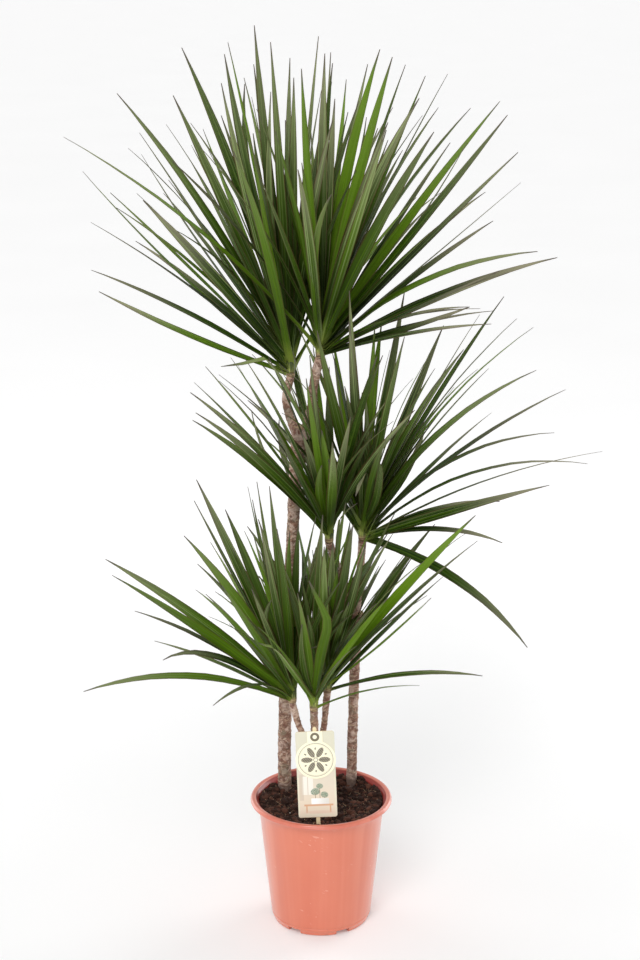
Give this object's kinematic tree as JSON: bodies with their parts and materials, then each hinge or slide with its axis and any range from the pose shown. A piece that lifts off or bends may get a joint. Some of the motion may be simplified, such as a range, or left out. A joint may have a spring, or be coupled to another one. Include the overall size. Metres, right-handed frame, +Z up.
{
  "type": "potted dracaena marginata",
  "caption": "Tall branched house plant with heads of long narrow leaves on woody canes, standing in a round plastic nursery pot with a plant label.",
  "frame": {"origin": "middle of the pot's underside, on the surface that the pot stands on", "axes": "+Z up, +X to the right and -Y toward the viewer as the plant is pictured, with the label in front"},
  "size_m": [0.8496, 0.7551, 1.4944],
  "materials": {
    "pot_plastic": "satin terracotta plastic",
    "soil": "damp peat",
    "bark": "grey-brown bark with leaf scars",
    "leaf": "smooth dark green leaf with a purple margin",
    "label_paper": "printed card",
    "label_cream": "printed card",
    "label_wood": "bare pale wood"
  },
  "bodies": {
    "root": {"pot": "pot_plastic", "soil": "soil", "cane_tall": "bark", "cane_medium": "bark", "cane_short": "bark", "leaves_top_left": "leaf", "leaves_top_right": "leaf", "leaves_middle_right": "leaf", "leaves_middle_left": "leaf", "leaves_low_left": "leaf", "leaves_low_middle": "leaf", "leaves_low_right": "leaf", "label_card": "label_paper", "label_disc": "label_cream", "label_stake": "label_wood"}
  },
  "joints": []
}
